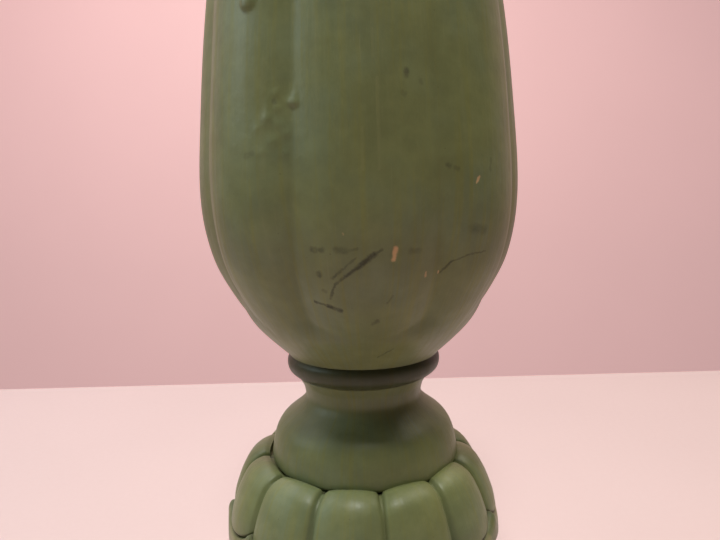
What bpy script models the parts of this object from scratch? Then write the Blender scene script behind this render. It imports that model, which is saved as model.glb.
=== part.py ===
"""Painted candlestick: turned and carved sections stacked on a threaded rod, with a lift-out candle cup.

Metres, +Z up. The origin is the middle of the underside, on the table.
"""

from math import asin, atan2, cos, pi, sin, sqrt, tau

import bpy
from mathutils import Vector

MM = 0.001
GAP = 0.3 * MM

# Heights of the joints between the stacked sections, above the table.
FELT_TOP = 2.0 * MM
PLINTH_TOP = 18.0 * MM
MOULDING_TOP = 33.0 * MM
SPOOL_TOP = 46.0 * MM
GIRDLE_TOP = 69.2 * MM
KNOP_SEAT = 83.7 * MM
COLLAR_TOP = 109.8 * MM
BEAD_TOP = 116.2 * MM
BODY_TOP = 287.0 * MM
SHOULDER_TOP = 294.0 * MM
UPPER_NECK_TOP = 314.0 * MM
CAPITAL_TOP = 334.0 * MM
SOCKET_TOP = 352.0 * MM

# Widest radius of each section.
FOOT_R = 64.0 * MM
FELT_R = 57.0 * MM
MOULDING_R = 52.0 * MM
SPOOL_R = 23.5 * MM
GIRDLE_R = 41.6 * MM
COLLAR_R = 28.3 * MM
NECK_R = 17.6 * MM
BEAD_R = 22.5 * MM
BODY_R = 45.8 * MM
SHOULDER_R = 22.5 * MM
CAPITAL_R = 29.0 * MM
PAN_R = 37.0 * MM

# Carving.
LOBE_BEND = 0.92
BODY_LOBES = 8
BODY_PHASE = 2.0 * pi / 180
BODY_GROOVE = 2.5 * MM
KNOP_LOBES = 12
KNOP_PHASE = 21.5 * pi / 180
KNOP_GROOVE = 1.8 * MM

# Rod, its fittings and the register between sections.
ROD_R = 4.0 * MM
BORE_R = ROD_R + GAP
SPIGOT_R = 9.0 * MM
SPIGOT_H = 5.0 * MM
COUNTERBORE_R = 13.0 * MM
WEB = 3.7 * MM
WASHER_R = 10.5 * MM
WASHER_H = 1.6 * MM
SPRING_R = 7.2 * MM
SPRING_H = 2.0 * MM
NUT_H = 6.5 * MM
NUT_ACROSS_FLATS = 13.0 * MM

# Candle cup, for a taper candle of 22 mm.
SOCKET_BORE = 11.3 * MM
SOCKET_WALL = 1.2 * MM
SOCKET_R = SOCKET_BORE + SOCKET_WALL
SOCKET_BOTTOM = 328.0 * MM
PAN_WALL = 1.2 * MM

STEPS = 24
FOOT_STEPS = 32
BODY_STEPS = BODY_LOBES * 6
KNOP_STEPS = KNOP_LOBES * 4

for old in list(bpy.data.objects):
    bpy.data.objects.remove(old, do_unlink=True)

candlestick = bpy.data.collections.new("candlestick")
bpy.context.scene.collection.children.link(candlestick)


# ---------------------------------------------------------------- materials

def finish(name, colour, roughness, metallic=0.0):
    material = bpy.data.materials.new(name)
    material.use_nodes = True
    shader = material.node_tree.nodes["Principled BSDF"]
    shader.inputs["Base Color"].default_value = (*colour, 1.0)
    shader.inputs["Roughness"].default_value = roughness
    shader.inputs["Metallic"].default_value = metallic
    material.diffuse_color = (*colour, 1.0)
    return material


def sage_paint(name):
    return finish(name, (0.17, 0.20, 0.105), 0.42)


def brass(name):
    return finish(name, (0.62, 0.45, 0.20), 0.35, 1.0)


def steel(name):
    return finish(name, (0.55, 0.56, 0.57), 0.38, 1.0)


def green_felt(name):
    return finish(name, (0.035, 0.06, 0.035), 0.95)


# ---------------------------------------------------------------- outlines

def arc(r, z, radius, start, end, steps):
    """Points on a circle about (r, z), from one angle in degrees to another; 0 is outward and 90 is up."""
    angles = [(start + (end - start) * i / steps) * pi / 180 for i in range(steps + 1)]
    return [(r + radius * cos(a), z + radius * sin(a)) for a in angles]


def smooth(points, per_span):
    """A Catmull-Rom curve through the points."""
    ends = [points[0], *points, points[-1]]
    curve = [points[0]]
    for a, b, c, d in zip(ends, ends[1:], ends[2:], ends[3:]):
        a, b, c, d = Vector(a), Vector(b), Vector(c), Vector(d)
        for i in range(1, per_span + 1):
            t = i / per_span
            p = 0.5 * (2 * b + (c - a) * t + (2 * a - 5 * b + 4 * c - d) * t ** 2
                       + (3 * b - a - 3 * c + d) * t ** 3)
            curve.append((p.x, p.y))
    return curve


def bored(bottom, top):
    """The inside of a section, bottom to top: the recess, the rod's bore and the spigot on top."""
    return [(SPIGOT_R + GAP, bottom), (SPIGOT_R + GAP, bottom + SPIGOT_H), (BORE_R, bottom + SPIGOT_H),
            (BORE_R, top + SPIGOT_H), (SPIGOT_R, top + SPIGOT_H), (SPIGOT_R, top)]


# ---------------------------------------------------------------- turning

def turned(name, outline, material, steps=STEPS, closed=True):
    """A solid of revolution from an outline of (radius, height) that runs down its outer side."""
    mesh = bpy.data.meshes.new(name)
    edges = [(i, i + 1) for i in range(len(outline) - 1)]
    if closed:
        edges.append((len(outline) - 1, 0))
    mesh.from_pydata([(r, 0.0, z) for r, z in outline], edges, [])
    part = bpy.data.objects.new(name, mesh)
    candlestick.objects.link(part)
    screw = part.modifiers.new("turn", "SCREW")
    screw.axis = "Z"
    screw.steps = steps
    screw.render_steps = steps
    screw.use_merge_vertices = True
    screw.merge_threshold = 0.01 * MM
    screw.use_smooth_shade = True
    part.data.materials.append(material)
    return part


def applied(part):
    """Replaces an object's mesh by its evaluated mesh."""
    depsgraph = bpy.context.evaluated_depsgraph_get()
    mesh = bpy.data.meshes.new_from_object(part.evaluated_get(depsgraph))
    part.modifiers.clear()
    part.data = mesh
    return mesh


def carved(part, lobes, phase, shift):
    """Moves the turned surface inwards between lobes; shift(r, z, across) gives the move in r and z.

    across is 0 on a lobe's crest and 1 in the groove beside it. The phase, from -Y towards +X, is the
    angle of one crest.
    """
    for vertex in applied(part).vertices:
        x, y, z = vertex.co
        angle = atan2(y, x)
        across = abs((angle * lobes / tau + 0.5) % 1.0 - 0.5) * 2
        r = sqrt(x * x + y * y)
        dr, dz = shift(r, z, across)
        turn = angle + phase - pi / 2
        vertex.co = ((r + dr) * cos(turn), (r + dr) * sin(turn), z + dz)


def round_back(across):
    """How far a convex lobe's back has fallen from its crest, 0 to 1, as an arc that ends in a cusp."""
    return (1 - cos(asin(LOBE_BEND * across))) / (1 - cos(asin(LOBE_BEND)))


# ---------------------------------------------------------------- foot

def felt_pad():
    edge = 0.5 * MM
    outline = [(0, FELT_TOP), (FELT_R - edge, FELT_TOP), (FELT_R, FELT_TOP - edge),
               (FELT_R, edge), (FELT_R - edge, 0), (0, 0)]
    turned("felt_pad", outline, green_felt("felt"), FOOT_STEPS, closed=False)


def foot_plinth():
    bottom = FELT_TOP + GAP
    edge = 5.0 * MM
    step_z = bottom + 2 * edge
    step_r = 55.5 * MM
    outline = [(step_r - 1.0 * MM, PLINTH_TOP), (step_r, PLINTH_TOP - 1.0 * MM), (step_r, step_z)]
    outline += arc(FOOT_R - edge, bottom + edge, edge, 90, -90, 5)
    outline += [(COUNTERBORE_R, bottom), (COUNTERBORE_R, PLINTH_TOP - WEB), (BORE_R, PLINTH_TOP - WEB)]
    outline += [(BORE_R, PLINTH_TOP + SPIGOT_H), (SPIGOT_R, PLINTH_TOP + SPIGOT_H), (SPIGOT_R, PLINTH_TOP)]
    turned("foot_plinth", outline, sage_paint("plinth_paint"), FOOT_STEPS)


def foot_moulding():
    bottom = PLINTH_TOP + GAP
    ogee = [(24.0 * MM, MOULDING_TOP), (25.5 * MM, 29.0 * MM), (32.0 * MM, 25.0 * MM),
            (43.0 * MM, 23.0 * MM), (50.5 * MM, 20.6 * MM), (MOULDING_R, bottom)]
    turned("foot_moulding", smooth(ogee, 2) + bored(bottom, MOULDING_TOP),
           sage_paint("moulding_paint"), FOOT_STEPS)


def lower_spool():
    bottom = MOULDING_TOP + GAP
    bead = 2.6 * MM
    outline = [(SPOOL_R - 1.5 * MM, SPOOL_TOP), (SPOOL_R - 0.4 * MM, SPOOL_TOP - 1.2 * MM)]
    outline += smooth([(SPOOL_R - 2.0 * MM, SPOOL_TOP - 3.0 * MM), (17.6 * MM, 41.5 * MM),
                       (SPOOL_R - 3.5 * MM, bottom + 2 * bead)], 2)
    outline += arc(SPOOL_R - bead, bottom + bead, bead, 90, -90, 4)
    turned("lower_spool", outline + bored(bottom, SPOOL_TOP), sage_paint("spool_paint"))


# ---------------------------------------------------------------- knop and neck

def knop_girdle():
    bottom = SPOOL_TOP + GAP
    outline = [(GIRDLE_R - 2.2 * MM, GIRDLE_TOP), (GIRDLE_R - 0.8 * MM, GIRDLE_TOP - 0.7 * MM)]
    outline += smooth([(GIRDLE_R, 66.3 * MM), (GIRDLE_R - 0.4 * MM, 61.5 * MM), (37.5 * MM, 54.0 * MM),
                       (30.5 * MM, 48.6 * MM), (24.5 * MM, bottom)], 2)
    turned("knop_girdle", outline + bored(bottom, GIRDLE_TOP), sage_paint("girdle_paint"), FOOT_STEPS)


def gadrooned_knop():
    """Twelve convex fingers that run down from under the collar to the girdle."""
    bottom = GIRDLE_TOP + GAP
    hub_r, hub_z = 28.0 * MM, 65.0 * MM
    wide, tall = 13.4 * MM, 23.0 * MM
    seat_r = COLLAR_R + GAP
    crest = [(seat_r, 86.9 * MM), (30.9 * MM, 86.7 * MM), (34.3 * MM, 83.9 * MM), (37.5 * MM, 79.1 * MM),
             (40.0 * MM, 73.2 * MM), (40.4 * MM, bottom + 2.2 * MM)]
    outline = smooth(crest, 2) + [(39.8 * MM, bottom + 0.8 * MM), (38.4 * MM, bottom)]
    outline += bored(bottom, KNOP_SEAT) + [(seat_r, KNOP_SEAT)]
    knop = turned("gadrooned_knop", outline, sage_paint("knop_paint"), KNOP_STEPS)

    def shift(r, z, across):
        if r < seat_r - GAP / 2 or z < bottom + GAP or z < KNOP_SEAT + GAP and r < seat_r + GAP / 2:
            return 0.0, 0.0
        depth = KNOP_GROOVE * round_back(across)
        out = Vector(((r - hub_r) / wide, (z - hub_z) / tall)).normalized()
        return -depth * out.x, -depth * out.y

    carved(knop, KNOP_LOBES, KNOP_PHASE, shift)


def neck_collar():
    """The short neck, and the dome that spreads from it over the fingers."""
    bottom = KNOP_SEAT + GAP
    lip = 1.5 * MM
    neck = smooth([(19.9 * MM, COLLAR_TOP), (18.0 * MM, 106.3 * MM), (NECK_R, 103.5 * MM),
                   (18.5 * MM, 101.6 * MM), (24.6 * MM, 96.6 * MM), (27.7 * MM, 92.6 * MM),
                   (COLLAR_R, 88.5 * MM)], 2)
    outline = neck + [(COLLAR_R - 0.3 * MM, bottom + lip), (COLLAR_R - lip, bottom)]
    turned("neck_collar", outline + bored(bottom, COLLAR_TOP), sage_paint("collar_paint"), FOOT_STEPS)


def neck_bead():
    bottom = COLLAR_TOP + GAP
    outline = [(BEAD_R - 0.8 * MM, BEAD_TOP), (BEAD_R, BEAD_TOP - 0.9 * MM), (BEAD_R, 112.8 * MM),
               (BEAD_R - 0.9 * MM, 111.2 * MM), (20.2 * MM, bottom)]
    turned("neck_bead", outline + bored(bottom, BEAD_TOP), sage_paint("bead_paint"))


# ---------------------------------------------------------------- body

def fluted_body():
    """The eight-lobed vase; its grooves die out before the bottom and the shoulder."""
    bottom = BEAD_TOP + GAP
    crest = smooth([(20.5 * MM, BODY_TOP), (23.5 * MM, 278.0 * MM), (31.0 * MM, 261.0 * MM),
                    (37.4 * MM, 240.0 * MM), (41.5 * MM, 214.0 * MM), (44.8 * MM, 184.0 * MM),
                    (BODY_R, 162.0 * MM), (43.6 * MM, 147.0 * MM), (38.8 * MM, 136.4 * MM),
                    (31.4 * MM, 125.7 * MM), (22.6 * MM, bottom)], 2)
    body = turned("fluted_body", crest + bored(bottom, BODY_TOP), sage_paint("body_paint"), BODY_STEPS)
    low, high, fade = 126.0 * MM, 272.0 * MM, 14.0 * MM

    def shift(r, z, across):
        near_end = min(z - low, high - z) / fade
        if r < SPIGOT_R + 1 * MM or near_end <= 0:
            return 0.0, 0.0
        ease = min(near_end, 1.0)
        return -BODY_GROOVE * ease * ease * (3 - 2 * ease) * round_back(across), 0.0

    carved(body, BODY_LOBES, BODY_PHASE, shift)


def shoulder_ring():
    bottom = BODY_TOP + GAP
    half = (SHOULDER_TOP - bottom) / 2
    outline = arc(SHOULDER_R - half, bottom + half, half, 90, -90, 5)
    turned("shoulder_ring", outline + bored(bottom, SHOULDER_TOP), sage_paint("shoulder_paint"))


def upper_neck():
    bottom = SHOULDER_TOP + GAP
    outline = smooth([(19.0 * MM, UPPER_NECK_TOP), (16.2 * MM, 310.0 * MM), (14.8 * MM, 304.0 * MM),
                      (16.0 * MM, 298.5 * MM), (18.5 * MM, bottom)], 2)
    turned("upper_neck", outline + bored(bottom, UPPER_NECK_TOP), sage_paint("upper_neck_paint"))


def capital():
    """The flared bowl that carries the candle cup, bored for the cup's stem and the top nut."""
    bottom = UPPER_NECK_TOP + GAP
    stem_bore = SOCKET_R + GAP
    outline = smooth([(CAPITAL_R - 1.5 * MM, CAPITAL_TOP), (CAPITAL_R, 331.5 * MM), (27.0 * MM, 326.5 * MM),
                      (22.5 * MM, 320.5 * MM), (20.0 * MM, bottom)], 2)
    outline += [(SPIGOT_R + GAP, bottom), (SPIGOT_R + GAP, bottom + SPIGOT_H), (BORE_R, bottom + SPIGOT_H)]
    floor = bottom + SPIGOT_H + 1.2 * MM
    outline += [(BORE_R, floor), (stem_bore, floor), (stem_bore, CAPITAL_TOP)]
    turned("capital", outline, sage_paint("capital_paint"))


# ---------------------------------------------------------------- candle cup

def drip_pan():
    """The spun dish round the socket, with a rolled rim."""
    under = CAPITAL_TOP + GAP
    rim = 1.1 * MM
    rim_z = under + 7.0 * MM
    flat_r = 25.0 * MM
    outline = arc(PAN_R - rim, rim_z, rim, 170, -60, 5)
    outline += smooth([(32.5 * MM, under + 2.2 * MM), (29.0 * MM, under + 0.5 * MM), (flat_r, under)], 2)
    outline += [(SOCKET_R + GAP, under), (SOCKET_R + GAP, under + PAN_WALL), (flat_r, under + PAN_WALL)]
    outline += [(29.0 * MM, under + 1.9 * MM), (32.5 * MM, under + 4.0 * MM)]
    turned("drip_pan", outline, brass("pan_brass"), FOOT_STEPS)


def candle_socket():
    """The cup that grips the candle; its stem drops into the capital."""
    lip = 1.4 * MM
    outline = arc(SOCKET_R + 0.2 * MM, SOCKET_TOP - lip, lip, 150, -90, 5)
    outline += [(SOCKET_R, SOCKET_TOP - 3.4 * MM), (SOCKET_R, SOCKET_BOTTOM + 0.8 * MM)]
    outline += [(SOCKET_R - 0.8 * MM, SOCKET_BOTTOM), (0, SOCKET_BOTTOM)]
    outline = [(0, SOCKET_BOTTOM + SOCKET_WALL), (SOCKET_BORE, SOCKET_BOTTOM + SOCKET_WALL),
               (SOCKET_BORE, SOCKET_TOP - 2.2 * MM)] + outline
    turned("candle_socket", outline, brass("socket_brass"), closed=False)


def socket_collar():
    """The turned ring soldered round the socket where it meets the pan."""
    half = 1.6 * MM
    bottom = CAPITAL_TOP + GAP + PAN_WALL + GAP
    inner = SOCKET_R + GAP
    outline = arc(inner + 1.4 * MM, bottom + half, half, 90, -90, 4)
    turned("socket_collar", outline + [(inner, bottom), (inner, bottom + 2 * half)], brass("collar_brass"))


# ---------------------------------------------------------------- rod and its fittings

BOTTOM_SEAT = PLINTH_TOP - WEB
TOP_SEAT = UPPER_NECK_TOP + GAP + SPIGOT_H + 1.2 * MM


def tie_rod():
    """The rod through every section, from the lower nut to the upper one."""
    chamfer = 0.8 * MM
    low = BOTTOM_SEAT - GAP - WASHER_H - GAP - SPRING_H - GAP - NUT_H - 1.0 * MM
    high = TOP_SEAT + GAP + WASHER_H + GAP + 4.8 * MM
    outline = [(0, high), (ROD_R - chamfer, high), (ROD_R, high - chamfer),
               (ROD_R, low + chamfer), (ROD_R - chamfer, low), (0, low)]
    turned("tie_rod", outline, steel("rod_steel"), 20, closed=False)


def washer(name, bottom, radius, height):
    bevel = 0.25 * MM
    outline = [(radius - bevel, bottom + height), (radius, bottom + height - bevel), (radius, bottom),
               (BORE_R, bottom), (BORE_R, bottom + height)]
    return turned(name, outline, steel(name + "_steel"), 24)


def nut(name, bottom, height):
    """A hexagon nut whose corners are turned off on both faces."""
    corner = NUT_ACROSS_FLATS / sqrt(3)
    outline = [(corner, bottom + height), (corner, bottom), (BORE_R, bottom), (BORE_R, bottom + height)]
    part = turned(name, outline, steel(name + "_steel"), 24)
    for vertex in applied(part).vertices:
        x, y, z = vertex.co
        r = sqrt(x * x + y * y)
        if r > BORE_R + GAP:
            turn = (atan2(y, x) + pi / 6) % (pi / 3) - pi / 6
            flat = NUT_ACROSS_FLATS / 2 / cos(turn)
            vertex.co = (x * flat / r, y * flat / r, z)


def fittings():
    washer("bottom_washer", BOTTOM_SEAT - GAP - WASHER_H, WASHER_R, WASHER_H)
    spring_bottom = BOTTOM_SEAT - GAP - WASHER_H - GAP - SPRING_H
    washer("spring_washer", spring_bottom, SPRING_R, SPRING_H)
    nut("bottom_nut", spring_bottom - GAP - NUT_H, NUT_H)
    washer("top_washer", TOP_SEAT + GAP, WASHER_R, WASHER_H)
    nut("top_nut", TOP_SEAT + 2 * GAP + WASHER_H, 4.0 * MM)


for make in (felt_pad, foot_plinth, foot_moulding, lower_spool, knop_girdle, gadrooned_knop, neck_collar,
             neck_bead, fluted_body, shoulder_ring, upper_neck, capital, drip_pan, candle_socket,
             socket_collar, tie_rod, fittings):
    make()
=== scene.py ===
"""The looks of the painted candlestick: turned and carved sections, satin paint, aged brass, felt and steel.

Metres, +Z up. Shapes are worked out in millimetres, and angles in degrees from -Y (the front) towards +X.
"""

from math import radians

import bmesh
import bpy
import numpy as np
from mathutils import Euler, Matrix, Vector


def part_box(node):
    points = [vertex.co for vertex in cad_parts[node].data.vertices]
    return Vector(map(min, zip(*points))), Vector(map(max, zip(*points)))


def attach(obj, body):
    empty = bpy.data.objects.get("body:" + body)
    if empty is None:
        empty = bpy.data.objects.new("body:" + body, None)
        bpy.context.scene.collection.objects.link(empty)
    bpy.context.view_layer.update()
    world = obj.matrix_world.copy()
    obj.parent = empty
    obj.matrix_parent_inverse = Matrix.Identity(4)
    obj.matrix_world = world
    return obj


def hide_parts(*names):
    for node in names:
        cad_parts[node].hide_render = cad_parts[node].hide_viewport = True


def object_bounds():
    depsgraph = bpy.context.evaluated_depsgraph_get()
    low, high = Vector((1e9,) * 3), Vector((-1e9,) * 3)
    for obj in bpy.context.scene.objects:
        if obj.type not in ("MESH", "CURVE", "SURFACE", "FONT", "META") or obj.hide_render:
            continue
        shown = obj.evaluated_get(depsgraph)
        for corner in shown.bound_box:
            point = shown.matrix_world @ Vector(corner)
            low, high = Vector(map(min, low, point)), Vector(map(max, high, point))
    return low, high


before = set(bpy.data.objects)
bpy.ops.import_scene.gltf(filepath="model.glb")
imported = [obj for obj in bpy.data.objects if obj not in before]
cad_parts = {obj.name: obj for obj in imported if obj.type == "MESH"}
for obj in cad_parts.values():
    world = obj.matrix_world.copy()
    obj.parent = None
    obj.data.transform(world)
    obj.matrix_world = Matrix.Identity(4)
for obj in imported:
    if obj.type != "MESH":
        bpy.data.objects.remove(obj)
cad_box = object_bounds()

MM = 0.001

# ---------------------------------------------------------------- driving values, in mm and degrees

GAP = 0.3             # between touching sections
SPIGOT_R = 9.0
SPIGOT_H = 5.0
BORE_R = 4.3
COUNTERBORE_R = 13.0  # the pocket for the nut under the plinth
COUNTERBORE_WEB = 3.7
EASED = 0.35          # the eased edge of a spigot
STEM_BORE = 12.8      # the hole that the candle socket stands in
BRASS_WALL = 1.2

BODY_LOBES = 8
BODY_PHASE = 2.0      # the crest of the front lobe
BODY_COLUMNS = 480
BODY_ROW = 0.55       # height between two rows of points
LOBE_ROUNDNESS = 0.42
LOBE_FOOT = 125.3     # heights where the lobes run out
LOBE_HEAD = 272.0
LOBE_CORNER = 9.0     # radius of a lobe's corners, seen from the front
LOBE_TURN = 22.5      # half a lobe's width, in degrees
GROOVE_EDGE = 0.14    # softness of the edge between two lobes
GROOVE_DRIFT = {      # degrees by which each groove leaves its even place towards the lobes' feet
    -4: 0.0, -3: 0.7, -2: -0.4, -1: -2.6, 0: 2.4, 1: 0.6, 2: -0.5, 3: 0.4,
}
UNROLL_R = 43.0       # radius at which the body's surface is measured in mm across

KNOP_LOBES = 12
KNOP_PHASE = 21.5     # the crest of one finger
KNOP_COLUMNS = 576
FINGER_ROWS = 74
FINGER_DEPTH = 2.4    # from a finger's crest to the bottom of the groove beside it
CREASE_DEPTH = 0.6    # the part of it that is a narrow cut between two fingers
CREASE_WIDE = 0.7     # half that cut
FILLET = 0.45         # half the flat strip between two fingers
TIP_LOW = 67.0        # the girdle's lip under a finger's middle
TIP_HIGH = 71.3       # and between two fingers
TIP_BEND = 0.93       # how nearly a finger's tip is a half circle
FINGER_BEND = 0.975   # and its back, from groove to groove
TUCK = 1.1            # radius by which a finger's tip turns under
HUB_R = 28.0          # the middle of an ellipse that the fingers follow; grooves are cut across it
HUB_Z = 65.0
HUB_WIDE = 13.4
HUB_TALL = 23.0
JOINT_R = 33.0        # the knop stands flat on the girdle inside this radius
JOINT_EASE = 5.0
BROW_WIDE = 1.8       # the rounded lip of the girdle
BROW_TALL = 3.4
KNOP_SHIFT = -1.5     # the knop and its girdle were glued on a little to the left
COLLAR_SHIFT = -0.45  # the collar and the bead less so
BEAD_SHIFT = -0.2

TURNED_COLUMNS = 256
SHARP_EDGE = 40       # faces that meet at more than this stay sharp, in degrees


# ---------------------------------------------------------------- outlines

def span(node, spigot=SPIGOT_H):
    """The lowest and highest height of a section, in mm, without the spigot on top."""
    low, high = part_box(node)
    return low.z / MM, high.z / MM - spigot


def arc(r, z, radius, start, end, steps=10):
    """Points on a circle about (r, z); 0 degrees is outward and 90 is up."""
    angles = np.radians(np.linspace(start, end, steps + 1))
    return np.stack([r + radius * np.cos(angles), z + radius * np.sin(angles)], 1)


def smooth(points, per_span=14):
    """A Catmull-Rom curve through the points."""
    ends = np.array([points[0], *points, points[-1]], float)
    t = np.linspace(0, 1, per_span, endpoint=False)[:, None]
    curve = []
    for a, b, c, d in zip(ends, ends[1:], ends[2:], ends[3:]):
        curve.append(0.5 * (2 * b + (c - a) * t + (2 * a - 5 * b + 4 * c - d) * t ** 2
                            + (3 * b - a - 3 * c + d) * t ** 3))
    return np.vstack([*curve, ends[-1:]])


def even(curve, step):
    """The same curve with points about a step apart."""
    along = np.concatenate([[0], np.cumsum(np.hypot(*np.diff(curve, axis=0).T))])
    at = np.linspace(0, along[-1], int(along[-1] / step) + 2)
    return np.stack([np.interp(at, along, curve[:, 0]), np.interp(at, along, curve[:, 1])], 1)


def line(*points, step=1.5):
    """A run of straight lines."""
    return np.vstack([even(np.array(pair, float), step) for pair in zip(points, points[1:])])


def bored(bottom, top):
    """The inside of a section from its under face to its top face: recess, bore and spigot."""
    crown = top + SPIGOT_H
    return np.array([(SPIGOT_R + GAP, bottom), (SPIGOT_R + GAP, bottom + SPIGOT_H),
                     (BORE_R, bottom + SPIGOT_H), (BORE_R, crown),
                     (SPIGOT_R - EASED, crown), (SPIGOT_R, crown - EASED), (SPIGOT_R, top)])


def ease_in(share):
    """0 to 1, starting and ending gently."""
    share = np.clip(share, 0, 1)
    return share * share * (3 - 2 * share)


# ---------------------------------------------------------------- surfaces

def around(columns):
    """The angles of the columns, which run round from the back."""
    return np.linspace(-180, 180, columns, endpoint=False)[None, :]


def skin(name, r, z, columns, closed=True, attributes=None, shift=0.0):
    """A solid from rows that run down its outer side and columns that run round it, in mm.

    shift moves its outer surface sideways, where the section was glued on off the bore's middle.
    """
    rows = max(r.shape[0], z.shape[0])
    phi = np.radians(around(columns))
    r, z, phi = np.broadcast_arrays(r, z, phi)
    r = r + shift * np.sin(phi) * np.clip((r - COUNTERBORE_R) / 4, 0, 1)
    points = np.stack([r * np.sin(phi), -r * np.cos(phi), z], -1).reshape(-1, 3) * MM
    i = np.arange(rows if closed else rows - 1)[:, None]
    j = np.arange(columns)[None, :]
    here, below, beside = i * columns, (i + 1) % rows * columns, (j + 1) % columns
    corners = np.stack(np.broadcast_arrays(here + j, below + j, below + beside, here + beside), -1)
    mesh = bpy.data.meshes.new(name)
    mesh.from_pydata(points, [], corners.reshape(-1, 4).tolist())
    for label, values in (attributes or {}).items():
        layer = mesh.attributes.new(label, "FLOAT", "POINT")
        layer.data.foreach_set("value", np.broadcast_to(values, r.shape).astype(np.float32).ravel())
    piece = bpy.data.objects.new(name, mesh)
    bpy.context.scene.collection.objects.link(piece)
    mesh.shade_smooth()
    mesh.set_sharp_from_angle(angle=radians(SHARP_EDGE))
    return piece


def close_poles(piece):
    """Merges the rows that meet on the axis into one point each."""
    shell = bmesh.new()
    shell.from_mesh(piece.data)
    bmesh.ops.remove_doubles(shell, verts=shell.verts, dist=0.001 * MM)
    shell.to_mesh(piece.data)
    shell.free()
    return piece


def turned(name, outline, columns=TURNED_COLUMNS, closed=True, wobble=0.05, shift=0.0):
    """A turned section whose surface wanders by a few hundredths of a millimetre, as a painted one does."""
    r, z = outline[:, :1], outline[:, 1:]
    phi = np.radians(around(columns))
    wander = np.sin(3 * phi + z / 5) + np.sin(5 * phi - z / 3 + 1) + 0.6 * np.sin(11 * phi + z / 2 + 2)
    outside = r > SPIGOT_R + 2
    return skin(name, r + wobble * wander / 2.6 * outside, z, columns, closed, shift=shift)


def soft_least(values, softness):
    """The least of several arrays, with the corner between them eased."""
    return -softness * np.log(sum(np.exp(-np.clip(v / softness, 0, 60)) for v in values))


def bump(phi, z, place, wide, tall):
    """1 at a place on the body's surface (angle, height) falling smoothly to 0 over an ellipse, in mm."""
    across = np.radians(phi - place[0]) * UNROLL_R / wide
    return np.exp(-(across ** 2 + ((z - place[1]) / tall) ** 2))


# ---------------------------------------------------------------- body

def lobe_depth(turn):
    """How far a lobe's back lies inside its crest, as a share of the radius; its edge is at LOBE_TURN."""
    turn = np.radians(np.clip(turn, -60, 60))
    a = LOBE_ROUNDNESS
    return 1 - a * np.cos(turn) - np.sqrt((1 - a) ** 2 - (a * np.sin(turn)) ** 2)


DRIPS = [   # angle, lower end, upper end, width, height
    (-35.8, 208.0, 236.0, 2.5, 0.75),
    (-19.6, 184.4, 187.0, 1.35, 0.5),
    (-28.0, 181.5, 186.0, 1.1, 0.22),
    (118.0, 176.0, 201.0, 1.8, 0.45),
    (-131.0, 150.0, 163.0, 1.5, 0.4),
    (171.0, 191.0, 214.0, 2.0, 0.5),
]
BLISTERS = [   # angle, height, radius, height above the surface
    (-28.0, 180.7, 1.5, 0.26), (-24.2, 179.6, 1.2, 0.24), (-22.3, 177.6, 1.0, 0.25),
    (-26.0, 176.0, 1.4, 0.22), (-29.6, 173.7, 1.2, 0.16), (-21.2, 184.6, 1.0, 0.22),
    (-24.8, 183.2, 0.9, 0.2), (-31.2, 179.0, 1.1, 0.15), (-25.4, 186.6, 0.9, 0.18),
    (-22.8, 173.2, 1.1, 0.15), (95.0, 162.0, 1.4, 0.2), (98.0, 165.5, 1.0, 0.18),
]
CHIPS = [   # angle, height, half width, half height, depth
    (9.6, 150.0, 0.6, 1.9, 0.25), (37.6, 166.2, 0.5, 0.9, 0.15), (142.0, 158.0, 0.6, 1.4, 0.2),
    (-84.0, 171.0, 0.5, 0.9, 0.15),
]


def body_relief(phi, z):
    """Drips, blisters and chips in the paint, in mm outwards."""
    relief = np.zeros(np.broadcast_shapes(phi.shape, z.shape))
    for angle, low, high, width, height in DRIPS:
        across = np.radians(phi - angle) * UNROLL_R
        along = z - np.clip(z, low, high)
        share = np.clip((z - low) / (high - low), 0, 1)
        reach = width * (1 - 0.45 * share)
        tall = height * (1 - 0.9 * share)
        relief = relief + tall * np.clip(1 - (across ** 2 + along ** 2) / reach ** 2, 0, 1) ** 0.8
    for angle, level, radius, height in BLISTERS:
        relief = relief + height * bump(phi, z, (angle, level), radius, radius)
    for angle, level, wide, tall, depth in CHIPS:
        relief = relief - depth * np.clip(1.6 * bump(phi, z, (angle, level), wide, tall), 0, 1)
    return relief


def groove_angles(z):
    """Where the grooves run, for each height: the front lobe widens a little towards its foot."""
    low = ease_in((178 - z) / 44)
    return {k: BODY_PHASE + 2 * LOBE_TURN * (k + 0.5) + drift * low for k, drift in GROOVE_DRIFT.items()}


def from_lobe_end(z):
    """How far a height is from the nearer end of the lobes."""
    return np.minimum(z - LOBE_FOOT, LOBE_HEAD - z)


def carved_depth(r, z, phi):
    """How far the body's surface lies inside its lobes' crests, in mm, and how far a groove's bottom does."""
    rounder = r * (1 + 0.25 * np.clip((172 - z) / 30, 0, 1))
    from_end = from_lobe_end(z)
    inset = LOBE_CORNER - np.sqrt(LOBE_CORNER ** 2 - np.clip(LOBE_CORNER - from_end, 0, LOBE_CORNER) ** 2)
    grooves = groove_angles(z)
    backs = []
    for k in sorted(grooves):
        right = grooves[k]
        left = grooves[k - 1] if k - 1 in grooves else grooves[BODY_LOBES // 2 - 1] - 360
        half = (right - left) / 2 - np.degrees(inset / r)
        off = (phi - (left + right) / 2 + 180) % 360 - 180
        backs.append(rounder * lobe_depth(off / half * LOBE_TURN))

    # The grooves run out over 8 mm in front, over 16 mm at the sides and over 30 mm at the top.
    sideways = np.clip((np.abs(phi - BODY_PHASE) - 24) / 12, 0, 1)
    upper = np.clip((z - 200) / 30, 0, 1)
    ease = ease_in(from_end / (8 + 8 * sideways * (1 - upper) + 22 * upper))
    valley = rounder * lobe_depth(LOBE_TURN) * ease
    return soft_least([soft_least(backs, GROOVE_EDGE), valley + 0.02], 0.02 + 0.2 * ease), valley


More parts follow.
